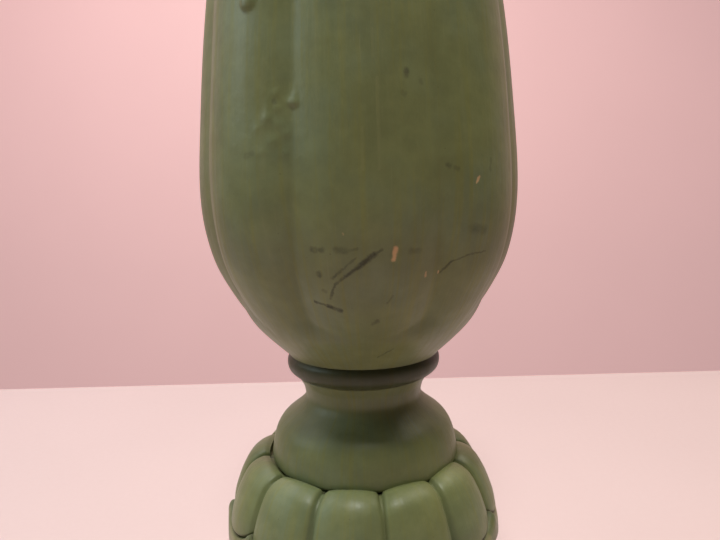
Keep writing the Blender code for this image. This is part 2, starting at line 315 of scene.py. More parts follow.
def fluted_body():
    """The vase: eight lobes between carved grooves, with the drips and chips in its paint."""
    bottom, top = span("fluted_body")
    crest = smooth([(20.5, top), (23.5, 278), (31, 261), (37.4, 240), (41.5, 214), (44.8, 184), (45.8, 162),
                    (43.6, 147), (38.8, 136.4), (31.4, 125.7), (22.6, bottom + 0.4)])
    crest = even(crest, BODY_ROW)
    r, z = crest[:, :1], crest[:, 1:]
    phi = around(BODY_COLUMNS)
    carved, valley = carved_depth(r, z, phi)
    above_seam = np.clip((z - bottom) / 4, 0, 1)
    wander = 0.05 * (np.sin(np.radians(3 * phi) + z / 9) + np.sin(np.radians(7 * phi) - z / 6 + 1))
    # Painted shade: the paint is darkened in the bottoms of the grooves, away from the lobes' ends.
    in_groove = np.clip((carved - 0.7 * valley) / (0.3 * valley + 0.25), 0, 1)
    well_inside = np.clip(from_lobe_end(z) / 9 - 1, 0, 1)
    painted_shade = 0.5 * in_groove ** 3 * well_inside
    inner = np.vstack([arc(22.2, bottom + 0.4, 0.4, 0, -90, 4), bored(bottom, top)])
    columns = np.ones((1, BODY_COLUMNS))
    all_r = np.vstack([r - carved + (body_relief(phi, z) + wander) * above_seam, inner[:, :1] * columns])
    all_z = np.vstack([z * columns, inner[:, 1:] * columns])
    no_painted_shade = np.zeros((len(inner), BODY_COLUMNS))
    return skin("carved_body", all_r, all_z, BODY_COLUMNS, attributes={"painted_shade": np.vstack([painted_shade, no_painted_shade])})


# ---------------------------------------------------------------- knop, girdle, collar and bead

def finger_across(phi):
    """0 on a finger's crest and 1 midway between two."""
    pitch = 360 / KNOP_LOBES
    return np.abs(((phi - KNOP_PHASE) / pitch + 0.5) % 1 - 0.5) * 2


def fallen(across, bend):
    """How far a round back has fallen, from 0 on its crest to 1 at its edge."""
    return (1 - np.sqrt(1 - (bend * across) ** 2)) / (1 - np.sqrt(1 - bend ** 2))


def tip_height(phi):
    """The scalloped line where the fingers end on the girdle's lip."""
    return TIP_LOW + (TIP_HIGH - TIP_LOW) * fallen(finger_across(phi), TIP_BEND)


def joint_height(r, phi, flat):
    """The surface between knop and girdle: flat inside, scalloped outside."""
    return flat + (tip_height(phi) - flat) * ease_in((r - JOINT_R) / JOINT_EASE)


def finger_crests(seat_r, phi, share):
    """Points down the fingers' crest line, by share of the way from the collar to the tips."""
    crest = smooth([(seat_r - 0.22, 85.7), (30.9, 86.0), (34.7, 83.8), (37.7, 79.1), (40.0, 73.2),
                    (40.8, 69.4), (41.2, 66.5)])
    crest = even(crest, 0.1)
    rows = np.arange(len(crest))
    first = np.argmax(crest[:, 1])
    last = np.interp(-(tip_height(phi) + GAP + TUCK), -crest[first:, 1], rows[first:])
    return np.interp(last * share, rows, crest[:, 0]), np.interp(last * share, rows, crest[:, 1])


def gadrooned_knop():
    """Twelve convex fingers that spread from under the collar and end on the girdle."""
    flat, top = span("gadrooned_knop")
    phi = around(KNOP_COLUMNS)
    seat_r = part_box("neck_collar")[1].x / MM + GAP
    share = np.linspace(0, 1, FINGER_ROWS)[:, None]
    r, z = finger_crests(seat_r, phi, share)

    # Each finger's back falls away to a groove, which has a crease at its bottom.
    half = r * radians(180 / KNOP_LOBES)
    across = np.clip(finger_across(phi) * half / (half - FILLET), 0, 1)
    hollow = fallen(across, FINGER_BEND)
    crease = np.clip(1 - (1 - across) * half / CREASE_WIDE, 0, 1) ** 2
    fullness = np.clip(0.75 + (r - seat_r) / 9, 0, 1)
    depth = (FINGER_DEPTH - CREASE_DEPTH) * hollow * fullness + CREASE_DEPTH * crease
    out = np.stack([(r - HUB_R) / HUB_WIDE, (z - HUB_Z) / HUB_TALL])
    out = out / np.hypot(*out)
    r, z = r - depth * out[0], z - depth * out[1]

    # The tip turns under, the knop's under face follows the girdle, and the bore closes the shell.
    turn = np.radians(np.linspace(8, 100, 9))[:, None]
    edge_r = r[-1:] - 1.15 * TUCK * (1 - np.cos(turn))
    edge_z = z[-1:] - TUCK * np.sin(turn)
    ones = np.ones_like(phi)
    under_r = np.array([36.2, 34.5, 33.0, 20.0])[:, None] * ones
    under_z = joint_height(under_r, phi, flat - GAP) + GAP
    inner = bored(flat, top)
    inner_r = inner[:, :1] * ones
    all_r = np.vstack([seat_r * ones, r, edge_r, under_r, inner_r])
    all_z = np.vstack([top * ones, z, edge_z, under_z, inner[:, 1:] * ones])

    # Painted shade: the creases between the fingers, the fingers' tops under the collar, the undersides of
    # the tips and the under face are darkened, where shade falls.
    under_collar = np.exp(-(share / 0.03) ** 2)
    finger_shade = crease ** 2 * np.clip(0.18 + under_collar, 0, 1) + 0.1 * under_collar
    tip_shade = finger_shade[-1:]
    edge_shade = tip_shade + (1 - tip_shade) * np.sin(turn)
    painted_shade = np.vstack([finger_shade[:1], finger_shade, edge_shade, under_r * 0 + 1, inner_r * 0])
    short_of_tip = np.clip((1 - share) / 0.05, 0, 1)
    crest_wear = 0.12 * np.clip(1 - hollow * 2.2, 0, 1) * short_of_tip
    wear_and_highlight = np.vstack([ones * 0, crest_wear, edge_r * 0, under_r * 0, inner_r * 0])
    return skin("carved_knop", all_r, all_z, KNOP_COLUMNS, attributes={"painted_shade": painted_shade, "wear_and_highlight": wear_and_highlight},
                shift=KNOP_SHIFT)


def knop_girdle():
    """The bowl under the fingers, whose scalloped lip follows their tips."""
    bottom, flat = span("knop_girdle")
    phi = around(KNOP_COLUMNS)
    ones = np.ones_like(phi)
    bowl = smooth([(41.7, 66.2), (41.4, 61.5), (37.5, 54), (30.5, 48.6), (24.5, bottom + 0.3)], 16)
    turn = np.radians(np.linspace(100, 0, 9))[:, None]
    brow_r = bowl[0, 0] - BROW_WIDE + BROW_WIDE * np.cos(turn) * ones
    lip_z = tip_height(phi) - BROW_TALL
    brow_z = lip_z + BROW_TALL * np.sin(turn)
    lower = bowl[1:, 1:]
    share = (lower - lower[-1]) / (bowl[0, 1] - lower[-1])
    side_z = lower + (lip_z - bowl[0, 1]) * ease_in((share - 0.55) / 0.45)
    side_r = bowl[1:, :1] * ones
    seat_r = np.array([20.0, 33.0, 34.5, 36.2, 38.0, 39.2])[:, None] * ones
    seat_z = joint_height(seat_r, phi, flat)
    inner = bored(bottom, flat)
    foot = arc(24.1, bottom + 0.3, 0.3, 0, -90, 3)[1:]
    foot_r = foot[:, :1] * ones
    inner_r = inner[:, :1] * ones
    all_r = np.vstack([brow_r, side_r, foot_r, inner_r, seat_r])
    all_z = np.vstack([brow_z, side_z, foot[:, 1:] * ones, inner[:, 1:] * ones, seat_z])
    # Painted shade at the top of the lip, under the finger tips, and on the seat under the knop.
    brow_shade = np.clip(np.sin(turn) * 1.4 - 0.75, 0, 1) * ones
    # Painted highlight: the lip's upper outer face and the top of the side take a paler worn colour, where
    # they face up into the light.
    brow_highlight = np.exp(-((np.degrees(turn) - 35) / 30) ** 2) * ones
    side_highlight = np.exp(-(1 - share) * 9) * ones
    painted_shade = np.vstack([brow_shade, side_r * 0, foot_r * 0, inner_r * 0, seat_r * 0 + 1])
    wear_and_highlight = np.vstack([brow_highlight, side_highlight, foot_r * 0, inner_r * 0, seat_r * 0])
    return skin("turned_girdle", all_r, all_z, KNOP_COLUMNS, attributes={"painted_shade": painted_shade, "wear_and_highlight": wear_and_highlight},
                shift=KNOP_SHIFT)


def neck_collar():
    """The waisted neck and the dome that spreads from it."""
    bottom, top = span("neck_collar")
    neck = smooth([(19.8, top + 0.26), (19.9, top), (18.7, 107.9), (18.0, 106.3), (17.6, 103.5),
                   (18.5, 101.6), (20.6, 99.6), (24.4, 96.6), (26.2, 94.3), (27.3, 91.6), (27.95, 88.8),
                   (28.3, 86.4)])
    outline = np.vstack([[(19.3, top), (19.5, top + 0.2)], even(neck, 0.4),
                         arc(27.0, bottom + 1.3, 1.3, 0, -90), bored(bottom, top)])
    return turned("turned_collar", outline, 320, shift=COLLAR_SHIFT)


def neck_bead():
    """The ring under the body; its darkness is painted shade of the body above it, set in its finish."""
    bottom, top = span("neck_bead")
    lip = smooth([(21.9, top + 0.24), (22.75, 115.3), (22.95, 113.7), (22.55, 112.1), (21.5, 110.95),
                  (20.2, bottom)], 8)
    outline = np.vstack([[(21.3, top), (21.5, top + 0.2)], even(lip, 0.3), bored(bottom, top)])
    return turned("turned_bead", outline, 288, shift=BEAD_SHIFT)


# ---------------------------------------------------------------- foot

def felt_pad():
    """The pad under the foot, with a slightly frayed rim."""
    bottom, top = span("felt_pad", 0)
    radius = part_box("felt_pad")[1].x / MM
    edge = 0.6
    outline = np.vstack([line((0, top), (radius - edge, top)), arc(radius - edge, top - edge, edge, 90, 0, 4),
                         arc(radius - edge, bottom + edge, edge, 0, -90, 4),
                         line((radius - edge, bottom), (0, bottom))])
    phi = np.radians(around(TURNED_COLUMNS))
    r, z = outline[:, :1], outline[:, 1:]
    fuzz = np.random.default_rng(4).normal(0, 0.07, (len(outline), TURNED_COLUMNS))
    rim = r > radius - 3
    r = r + rim * (fuzz - 0.12 + 0.08 * np.sin(9 * phi))
    return close_poles(skin("pressed_felt", np.clip(r, 0, None), z, TURNED_COLUMNS, closed=False))


def foot_plinth():
    """The round stepped base, with a pocket for the lower nut."""
    bottom, top = span("foot_plinth")
    edge = 5.0
    step = 55.5
    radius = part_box("foot_plinth")[1].x / MM
    step_z = bottom + 2 * edge
    outline = np.vstack([arc(step - 0.8, top - 0.8, 0.8, 90, 0, 6),
                         line((step, top - 0.8), (step, step_z + 0.4)),
                         arc(step + 0.4, step_z + 0.4, 0.4, 180, 270, 4),
                         arc(radius - edge, bottom + edge, edge, 90, -90, 22),
                         [(COUNTERBORE_R, bottom), (COUNTERBORE_R, top - COUNTERBORE_WEB),
                          (BORE_R, top - COUNTERBORE_WEB), (BORE_R, top + SPIGOT_H),
                          (SPIGOT_R, top + SPIGOT_H), (SPIGOT_R, top)]])
    return turned("turned_plinth", outline, wobble=0.08)


def foot_moulding():
    """The ogee on the plinth."""
    bottom, top = span("foot_moulding")
    ogee = smooth([(24.0, top), (25.5, 29), (32, 25), (43, 23), (50.5, 20.6), (51.9, bottom + 0.5)])
    outline = np.vstack([even(ogee, 0.7), arc(51.5, bottom + 0.4, 0.4, 0, -90, 4), bored(bottom, top)])
    return turned("turned_moulding", outline, wobble=0.08)


def lower_spool():
    """The waisted section between foot and knop."""
    bottom, top = span("lower_spool")
    bead = 2.6
    cove = smooth([(23.1, top - 1.4), (21.5, top - 3), (17.6, 41.5), (20.0, bottom + 2 * bead)])
    outline = np.vstack([arc(22.3, top - 0.8, 0.8, 90, 0, 6), even(cove, 0.5),
                         arc(23.5 - bead, bottom + bead, bead, 90, -90, 16), bored(bottom, top)])
    return turned("turned_spool", outline)


# ---------------------------------------------------------------- top

def shoulder_ring():
    """The half-round ring on top of the body."""
    bottom, top = span("shoulder_ring")
    half = (top - bottom) / 2
    outline = np.vstack([arc(22.5 - half, bottom + half, half, 90, -90, 20), bored(bottom, top)])
    return turned("turned_shoulder", outline)


def upper_neck():
    """The waisted section over the shoulder ring."""
    bottom, top = span("upper_neck")
    waist = smooth([(19.0, top), (16.2, 310), (14.8, 304), (16, 298.5), (18.5, bottom)])
    return turned("turned_upper_neck", np.vstack([even(waist, 0.5), bored(bottom, top)]))


def capital():
    """The flared bowl that the candle cup stands in."""
    bottom, top = span("capital", 0)
    floor = bottom + SPIGOT_H + 1.2
    bowl = smooth([(28.2, top - 0.7), (29, 331.5), (27, 326.5), (22.5, 320.5), (20, bottom)])
    outline = np.vstack([arc(27.5, top - 0.7, 0.7, 90, 0, 5)[:-1], even(bowl, 0.6),
                         [(SPIGOT_R + GAP, bottom), (SPIGOT_R + GAP, bottom + SPIGOT_H),
                          (BORE_R, bottom + SPIGOT_H), (BORE_R, floor),
                          (STEM_BORE, floor), (STEM_BORE, top)]])
    return turned("turned_capital", outline)


# ---------------------------------------------------------------- candle cup

def drip_pan():
    """A spun dish with a rolled rim."""
    under, _ = span("drip_pan", 0)
    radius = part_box("drip_pan")[1].x / MM
    rim = 1.1
    rim_z = under + 7
    dish = smooth([(34.6, rim_z - 2.1), (32.5, under + 2.2), (29, under + 0.5), (25, under)])
    floor = smooth([(25, under + BRASS_WALL), (29, under + 1.8), (32.2, under + 3.9), (34.2, rim_z - 1.0)])
    outline = np.vstack([arc(radius - rim, rim_z, rim, 170, -75, 20), even(dish, 0.5)[1:],
                         [(STEM_BORE, under), (STEM_BORE, under + BRASS_WALL)], even(floor, 0.5)])
    return turned("spun_pan", outline, wobble=0.04)


def candle_socket():
    """The cup that holds the candle, with a rolled lip; its lower end is the stem."""
    bottom, top = span("candle_socket", 0)
    bore = 11.3
    outer = bore + BRASS_WALL
    floor = bottom + BRASS_WALL
    lip = 1.4
    cup = np.vstack([line((0, floor), (bore - 0.5, floor)), arc(bore - 0.5, floor + 0.5, 0.5, -90, 0, 3),
                     line((bore, bottom + 2), (bore, top - 2.2)),
                     arc(outer + 0.2, top - lip, lip, 150, -90, 18),
                     line((outer, top - 3.4), (outer, bottom + 0.8)),
                     arc(outer - 0.8, bottom + 0.8, 0.8, 0, -90, 6),
                     line((outer - 0.8, bottom), (0, bottom))])
    return close_poles(turned("spun_socket", cup, closed=False, wobble=0.0))


def socket_collar():
    """The half-round ring between socket and pan."""
    bottom, top = span("socket_collar", 0)
    half = (top - bottom) / 2
    outline = np.vstack([arc(STEM_BORE + 1.4, bottom + half, half, 90, -90, 18),
                         [(STEM_BORE, bottom), (STEM_BORE, top)]])
    return turned("turned_socket_ring", outline, wobble=0.0)


# ---------------------------------------------------------------- nodes

class Nodes:
    """A node tree, with one short call for each kind of node that is used."""

    def __init__(self, tree):
        self.tree = tree

    def add(self, kind, inputs, **settings):
        """A node with its settings; an input is another node's output, which is linked, or a value."""
        made = self.tree.nodes.new(kind)
        for key, value in settings.items():
            setattr(made, key, value)
        for key, value in inputs.items():
            if isinstance(value, bpy.types.NodeSocket):
                self.tree.links.new(value, made.inputs[key])
            else:
                made.inputs[key].default_value = value
        return made

    def maths(self, operation, *values, clamp=False):
        made = self.add("ShaderNodeMath", dict(enumerate(values)), operation=operation, use_clamp=clamp)
        return made.outputs[0]

    def vector(self, operation, *values):
        made = self.add("ShaderNodeVectorMath", dict(enumerate(values)), operation=operation)
        return made.outputs["Value" if operation in ("DISTANCE", "DOT_PRODUCT", "LENGTH") else "Vector"]

    def scaled(self, vector, scale):
        return self.add("ShaderNodeVectorMath", {0: vector, "Scale": scale}, operation="SCALE").outputs[0]

    def combine(self, x=0.0, y=0.0, z=0.0):
        return self.add("ShaderNodeCombineXYZ", {0: x, 1: y, 2: z}).outputs[0]

    def separate(self, vector):
        return self.add("ShaderNodeSeparateXYZ", {0: vector}).outputs

    def object_point(self):
        """The point on the object, in mm."""
        return self.scaled(self.add("ShaderNodeTexCoord", {}).outputs["Object"], 1 / MM)

    def noise(self, vector, size, detail=3.0, roughness=0.55, distortion=0.0):
        """Noise with features of about that size in mm."""
        inputs = {"Vector": vector, "Scale": 1 / size, "Detail": detail, "Roughness": roughness,
                  "Distortion": distortion}
        return self.add("ShaderNodeTexNoise", inputs).outputs["Fac"]

    def between(self, value, low, high, to_low=0.0, to_high=1.0):
        """Maps low to high smoothly onto another range."""
        inputs = {"Value": value, "From Min": low, "From Max": high, "To Min": to_low, "To Max": to_high}
        return self.add("ShaderNodeMapRange", inputs, interpolation_type="SMOOTHSTEP").outputs[0]

    def mix(self, share, first, second, blend="MIX"):
        made = self.add("ShaderNodeMix", {0: share, 6: first, 7: second}, data_type="RGBA", blend_type=blend)
        return made.outputs[2]

    def attribute(self, name):
        return self.add("ShaderNodeAttribute", {}, attribute_name=name).outputs["Fac"]

    def bumped(self, height, distance, normal=None):
        """A normal from a height of 0 to 1, for a relief of that many mm."""
        inputs = {"Height": height, "Strength": 1.0, "Distance": distance * MM}
        if normal is not None:
            inputs["Normal"] = normal
        return self.add("ShaderNodeBump", inputs).outputs["Normal"]


class Finish(Nodes):
    """A material, whose nodes lead to its principled shader."""

    def __init__(self, name):
        self.material = bpy.data.materials.new(name)
        self.material.use_nodes = True
        super().__init__(self.material.node_tree)
        self.shader = self.tree.nodes["Principled BSDF"]

    def made_of(self, colour, roughness, normal):
        """The material, once these three are linked to its shader."""
        for key, value in (("Base Color", colour), ("Roughness", roughness), ("Normal", normal)):
            self.tree.links.new(value, self.shader.inputs[key])
        return self.material


def rgb(r, g, b):
    return (r, g, b, 1.0)


SAGE = rgb(0.184, 0.206, 0.085)
PALE_SAGE = rgb(0.255, 0.262, 0.120)
COOL_SAGE = rgb(0.176, 0.210, 0.106)
OLIVE = rgb(0.202, 0.212, 0.066)
DIRT_AND_SHADE = rgb(0.055, 0.050, 0.026)
WORN_AND_HIGHLIGHT = rgb(0.330, 0.290, 0.170)
SCUFF = rgb(0.032, 0.030, 0.022)
TAN_CORE = rgb(0.620, 0.400, 0.200)

# Scuffs on the body: angle and height of one end, then of the other, half width in mm, darkness.
SCUFFS = [
    (5.8, 151.2, 3.6, 150.1, 0.34, 0.6), (3.6, 150.1, -1.6, 147.0, 0.62, 0.9),
    (-1.6, 147.0, -5.2, 145.0, 0.42, 0.8), (-5.2, 145.0, -8.8, 143.0, 0.34, 0.6),
    (-8.8, 143.0, -11.1, 139.3, 0.3, 0.65), (-1.9, 149.2, -6.0, 146.7, 0.26, 0.4),
    (-6.0, 146.7, -9.4, 144.6, 0.34, 0.6), (-15.2, 151.3, -14.4, 151.2, 0.75, 0.6),
    (-12.7, 151.2, -12.0, 151.2, 0.7, 0.55), (-7.4, 151.3, -4.9, 151.0, 0.8, 0.45),
    (-4.9, 151.0, -1.5, 151.4, 0.35, 0.35), (-13.9, 145.5, -13.9, 145.2, 0.65, 0.7),
    (-13.2, 141.3, -12.4, 141.1, 0.5, 0.35), (-17.6, 138.3, -12.8, 137.3, 0.34, 0.85),
    (-12.8, 137.3, -7.9, 136.1, 0.5, 0.95), (3.6, 132.4, 5.4, 133.0, 0.5, 0.5),
    (8.3, 138.0, 10.1, 139.7, 0.3, 0.4), (7.4, 121.4, 14.4, 123.9, 0.3, 0.6),
    (15.0, 150.4, 17.9, 150.4, 0.7, 0.3), (14.3, 190.2, 14.2, 189.4, 0.7, 0.6),
    (19.0, 188.2, 19.4, 187.8, 0.6, 0.25), (13.0, 185.4, 13.4, 185.1, 0.6, 0.25),
    (27.4, 169.7, 27.9, 169.5, 0.6, 0.45), (29.9, 169.0, 30.6, 168.8, 0.6, 0.35),
    (-26.0, 184.9, -25.8, 184.6, 0.6, 0.35), (-35.6, 173.0, -33.4, 173.4, 0.7, 0.25),
    (27.6, 144.4, 30.8, 146.9, 0.3, 0.75), (30.8, 146.9, 36.5, 148.4, 0.26, 0.6),
    (36.5, 148.4, 43.4, 148.8, 0.22, 0.5), (36.8, 154.8, 41.0, 154.2, 1.2, 0.4),
    (43.3, 171.0, 42.9, 168.4, 0.4, 0.3), (96.0, 148.0, 104.0, 151.0, 0.35, 0.7),
    (150.0, 166.0, 158.0, 161.5, 0.4, 0.7), (-100.0, 155.0, -93.0, 152.0, 0.35, 0.6),
    (-165.0, 196.0, -161.0, 192.0, 0.4, 0.6), (60.0, 232.0, 66.0, 229.0, 0.35, 0.5),
    (-52.0, 243.0, -48.0, 247.0, 0.3, 0.5),
]
BARE_SPOTS = [   # the same, where the paint has come off the core
    (10.0, 151.4, 9.5, 148.8, 0.5, 1.0), (38.2, 166.9, 37.4, 165.5, 0.26, 0.8),
    (21.6, 144.7, 21.5, 143.8, 0.26, 0.6), (-5.3, 155.0, -5.2, 154.8, 0.25, 0.3),
    (26.9, 144.7, 27.1, 144.3, 0.2, 0.7), (142.2, 159.2, 141.7, 156.8, 0.5, 1.0),
    (-84.0, 171.7, -84.2, 170.3, 0.35, 0.9),
]
PALE_STREAKS = [   # the same, for light rubs down the body
    (4.5, 199.0, 4.6, 193.0, 0.3, 0.21), (5.5, 188.5, 5.4, 169.0, 0.35, 0.24),
    (0.9, 178.0, 0.8, 169.0, 0.35, 0.21), (-29.5, 194.0, -29.8, 168.0, 0.8, 0.18),
    (-12.0, 206.0, -12.2, 180.0, 1.4, 0.15), (-31.0, 168.0, -30.0, 146.0, 0.8, 0.12),
    (-9.6, 205.0, -9.4, 187.0, 0.3, 0.12), (33.0, 200.0, 33.4, 176.0, 0.4, 0.12),
]


def stroke_group():
    """A node group: how far a point lies inside a stroke from A to B, 0 to 1."""
    tree = bpy.data.node_groups.new("stroke", "ShaderNodeTree")
    for label, kind in (("Point", "NodeSocketVector"), ("A", "NodeSocketVector"), ("B", "NodeSocketVector"),
                        ("Half Width", "NodeSocketFloat"), ("Strength", "NodeSocketFloat")):
        tree.interface.new_socket(label, in_out="INPUT", socket_type=kind)
    tree.interface.new_socket("Mask", in_out="OUTPUT", socket_type="NodeSocketFloat")
    nodes = Nodes(tree)
    given = nodes.add("NodeGroupInput", {}).outputs
    way = nodes.vector("SUBTRACT", given["B"], given["A"])
    start = nodes.vector("SUBTRACT", given["Point"], given["A"])
    dot = nodes.vector("DOT_PRODUCT", start, way)
    length = nodes.vector("DOT_PRODUCT", way, way)
    nearest = nodes.scaled(way, nodes.maths("DIVIDE", dot, length, clamp=True))
    gap = nodes.maths("DIVIDE", nodes.vector("DISTANCE", start, nearest), given["Half Width"])
    mask = nodes.maths("MULTIPLY", nodes.between(gap, 1.6, 0.3), given["Strength"])
    nodes.add("NodeGroupOutput", {0: mask})
    return tree


STROKE = stroke_group()


def strokes(nodes, point, marks):
    """The strongest of several strokes, each (angle, height, angle, height, half width, strength)."""
    total = None
    for phi_a, z_a, phi_b, z_b, half_width, strength in marks:
        inputs = {"Point": point, "Half Width": half_width, "Strength": strength,
                  "A": (radians(phi_a) * UNROLL_R, z_a, 0), "B": (radians(phi_b) * UNROLL_R, z_b, 0)}
        mask = nodes.add("ShaderNodeGroup", inputs, node_tree=STROKE).outputs[0]
        total = mask if total is None else nodes.maths("MAXIMUM", total, mask)
    return total


def body_marks(nodes, point, xyz):
    """Light rubs, dark scuffs and chips down to the core on the body: how strong each is, 0 to 1."""
    turn = nodes.maths("ARCTAN2", xyz[0], nodes.maths("MULTIPLY", xyz[1], -1.0))
    unrolled = nodes.combine(nodes.maths("MULTIPLY", turn, UNROLL_R), xyz[2])
    ragged = nodes.add("ShaderNodeTexNoise", {"Vector": point, "Scale": 0.9, "Detail": 3.0}).outputs["Color"]
    ragged = nodes.vector("SUBTRACT", ragged, (0.5, 0.5, 0.5))
    ragged = nodes.vector("MULTIPLY", ragged, (0.9, 0.9, 0.0))
    ragged_point = nodes.vector("ADD", unrolled, ragged)
    broken = nodes.between(nodes.noise(point, 1.6, 3, 0.6), 0.32, 0.6, 0.6, 1.0)
    rubs = nodes.maths("MULTIPLY", strokes(nodes, unrolled, PALE_STREAKS), broken)
    scuffs = nodes.maths("MULTIPLY", strokes(nodes, ragged_point, SCUFFS), broken)
    return rubs, scuffs, strokes(nodes, ragged_point, BARE_SPOTS)


def sage_paint(name, marked=False, depth=1.0):
    """Satin sage paint, brushed up and down, over a tan core; depth below 1 darkens the whole coat, as
    painted shade.
    """
    nodes = Finish(name)
    point = nodes.object_point()
    xyz = nodes.separate(point)
    facing = nodes.vector("NORMALIZE", nodes.combine(xyz[0], xyz[1]))
    stretched = nodes.maths("MULTIPLY", xyz[2], 0.035)
    brushed = nodes.vector("ADD", nodes.scaled(facing, 40.0), nodes.combine(z=stretched))

    clouds = nodes.noise(point, 26, 3, 0.6)
    patches = nodes.noise(point, 7, 4, 0.62)
    streaks = nodes.noise(brushed, 1.5, 4, 0.65)
    hairs = nodes.noise(brushed, 0.45, 3, 0.7)
    grain = nodes.noise(point, 0.5, 3, 0.6)

    colour = nodes.mix(nodes.between(clouds, 0.35, 0.65), COOL_SAGE, SAGE)
    colour = nodes.mix(nodes.between(streaks, 0.46, 0.68, 0, 0.65), colour, OLIVE)
    colour = nodes.mix(nodes.between(hairs, 0.55, 0.8, 0, 0.35), colour, PALE_SAGE)
    shade = nodes.between(patches, 0.3, 0.75, 0.90 * depth, 1.08 * depth)
    grey = nodes.add("ShaderNodeCombineColor", {0: shade, 1: shade, 2: shade}).outputs[0]
    colour = nodes.mix(1.0, colour, grey, "MULTIPLY")
    specks = nodes.between(nodes.noise(point, 1.1, 2, 0.5), 0.74, 0.80, 0, 0.35)
    colour = nodes.mix(specks, colour, DIRT_AND_SHADE)

    # Painted shade: a mesh attribute darkens grooves, creases and faces tucked under other parts.
    painted_shade = nodes.maths("MULTIPLY", nodes.attribute("painted_shade"), nodes.between(patches, 0.2, 0.6, 0.55, 1.0))
    colour = nodes.mix(nodes.maths("MULTIPLY", painted_shade, 0.8), colour, DIRT_AND_SHADE)
    # A paler colour from a mesh attribute: wear on the fingers' crests, and a painted highlight on the
    # girdle's lip.
    wear_and_highlight = nodes.maths("MULTIPLY", nodes.attribute("wear_and_highlight"), nodes.between(patches, 0.42, 0.62, 0.1, 0.6))
    colour = nodes.mix(wear_and_highlight, colour, WORN_AND_HIGHLIGHT)

    roughness = nodes.between(streaks, 0.3, 0.7, 0.36, 0.47)
    roughness = nodes.maths("ADD", roughness, nodes.maths("MULTIPLY", painted_shade, 0.2))
    relief = nodes.maths("ADD", nodes.maths("MULTIPLY", streaks, 0.7), nodes.maths("MULTIPLY", hairs, 0.3))
    normal = nodes.bumped(relief, 0.07)
    normal = nodes.bumped(nodes.noise(point, 3.2, 2, 0.5), 0.10, normal)
    normal = nodes.bumped(grain, 0.012, normal)

    if marked:
        rubs, scuffs, chips = body_marks(nodes, point, xyz)
        colour = nodes.mix(rubs, colour, PALE_SAGE)
        colour = nodes.mix(nodes.maths("MULTIPLY", scuffs, 0.85), colour, SCUFF)
        colour = nodes.mix(chips, colour, TAN_CORE)
        roughness = nodes.maths("ADD", roughness, nodes.maths("MULTIPLY", scuffs, 0.25))
        roughness = nodes.maths("ADD", roughness, nodes.maths("MULTIPLY", chips, 0.4), clamp=True)
    nodes.shader.inputs["Specular IOR Level"].default_value = 0.36
    return nodes.made_of(colour, roughness, normal)


def aged_brass(name):
    """Turned brass with fine lathe lines, tarnished in patches."""
    nodes = Finish(name)
    point = nodes.object_point()
    xyz = nodes.separate(point)
    radius = nodes.vector("LENGTH", nodes.combine(xyz[0], xyz[1]))
    lines = nodes.noise(nodes.combine(radius, xyz[2]), 0.25, 3, 0.7)
    tarnish = nodes.noise(point, 9, 4, 0.65)
    spots = nodes.noise(point, 1.2, 3, 0.6)
    colour = nodes.mix(nodes.between(tarnish, 0.38, 0.68), rgb(0.55, 0.40, 0.19), rgb(0.33, 0.235, 0.115))
    colour = nodes.mix(nodes.between(spots, 0.66, 0.76, 0, 0.7), colour, rgb(0.16, 0.12, 0.07))
    roughness = nodes.between(tarnish, 0.3, 0.7, 0.34, 0.5)
    roughness = nodes.maths("ADD", roughness, nodes.between(spots, 0.6, 0.8, 0, 0.2))
    normal = nodes.bumped(lines, 0.015)
    normal = nodes.bumped(nodes.noise(point, 5, 2, 0.5), 0.05, normal)
    nodes.shader.inputs["Metallic"].default_value = 1.0
    return nodes.made_of(colour, roughness, normal)


def zinc_steel(name):
    """Zinc-plated steel with a grainy sparkle and a little rust."""
    nodes = Finish(name)
    point = nodes.object_point()
    mottle = nodes.noise(point, 1.6, 4, 0.6)
    fine = nodes.noise(point, 0.3, 3, 0.6)
    colour = nodes.mix(nodes.between(mottle, 0.35, 0.65), rgb(0.58, 0.60, 0.62), rgb(0.42, 0.43, 0.43))
    rust = nodes.between(nodes.noise(point, 4, 4, 0.7), 0.62, 0.72, 0, 0.6)
    colour = nodes.mix(rust, colour, rgb(0.20, 0.10, 0.05))
    roughness = nodes.between(mottle, 0.3, 0.7, 0.3, 0.5)
    nodes.shader.inputs["Metallic"].default_value = 1.0
    return nodes.made_of(colour, roughness, nodes.bumped(fine, 0.02))


def pressed_felt(name):
    """Dark green felt: matted fibres with a soft sheen."""
    nodes = Finish(name)
    point = nodes.object_point()
    fibres = nodes.noise(point, 0.35, 5, 0.75, 1.5)
    tufts = nodes.noise(point, 2.4, 3, 0.6)
    colour = nodes.mix(fibres, rgb(0.016, 0.030, 0.016), rgb(0.060, 0.095, 0.055))
    colour = nodes.mix(nodes.between(tufts, 0.5, 0.8, 0, 0.4), colour, rgb(0.085, 0.105, 0.07))
    roughness = nodes.between(fibres, 0.3, 0.7, 0.88, 1.0)
    normal = nodes.bumped(tufts, 0.15, nodes.bumped(fibres, 0.18))
    nodes.shader.inputs["Sheen Weight"].default_value = 0.4
    nodes.shader.inputs["Sheen Roughness"].default_value = 0.5
    return nodes.made_of(colour, roughness, normal)


def wall_paint(name, colour, glow=0.0):
    """Flat wall or table paint with the faintest unevenness."""
    nodes = Finish(name)
    point = nodes.object_point()
    cloud = nodes.noise(point, 220, 2, 0.5)
    darker = tuple(c * 0.97 for c in colour[:3]) + (1.0,)
    tone = nodes.mix(nodes.between(cloud, 0.3, 0.7), colour, darker)
    roughness = nodes.between(nodes.noise(point, 3, 2, 0.5), 0.3, 0.7, 0.55, 0.65)
    nodes.shader.inputs["Emission Color"].default_value = colour
    nodes.shader.inputs["Emission Strength"].default_value = glow
    return nodes.made_of(tone, roughness, nodes.bumped(nodes.noise(point, 2.0, 2, 0.5), 0.03))


# ---------------------------------------------------------------- pieces

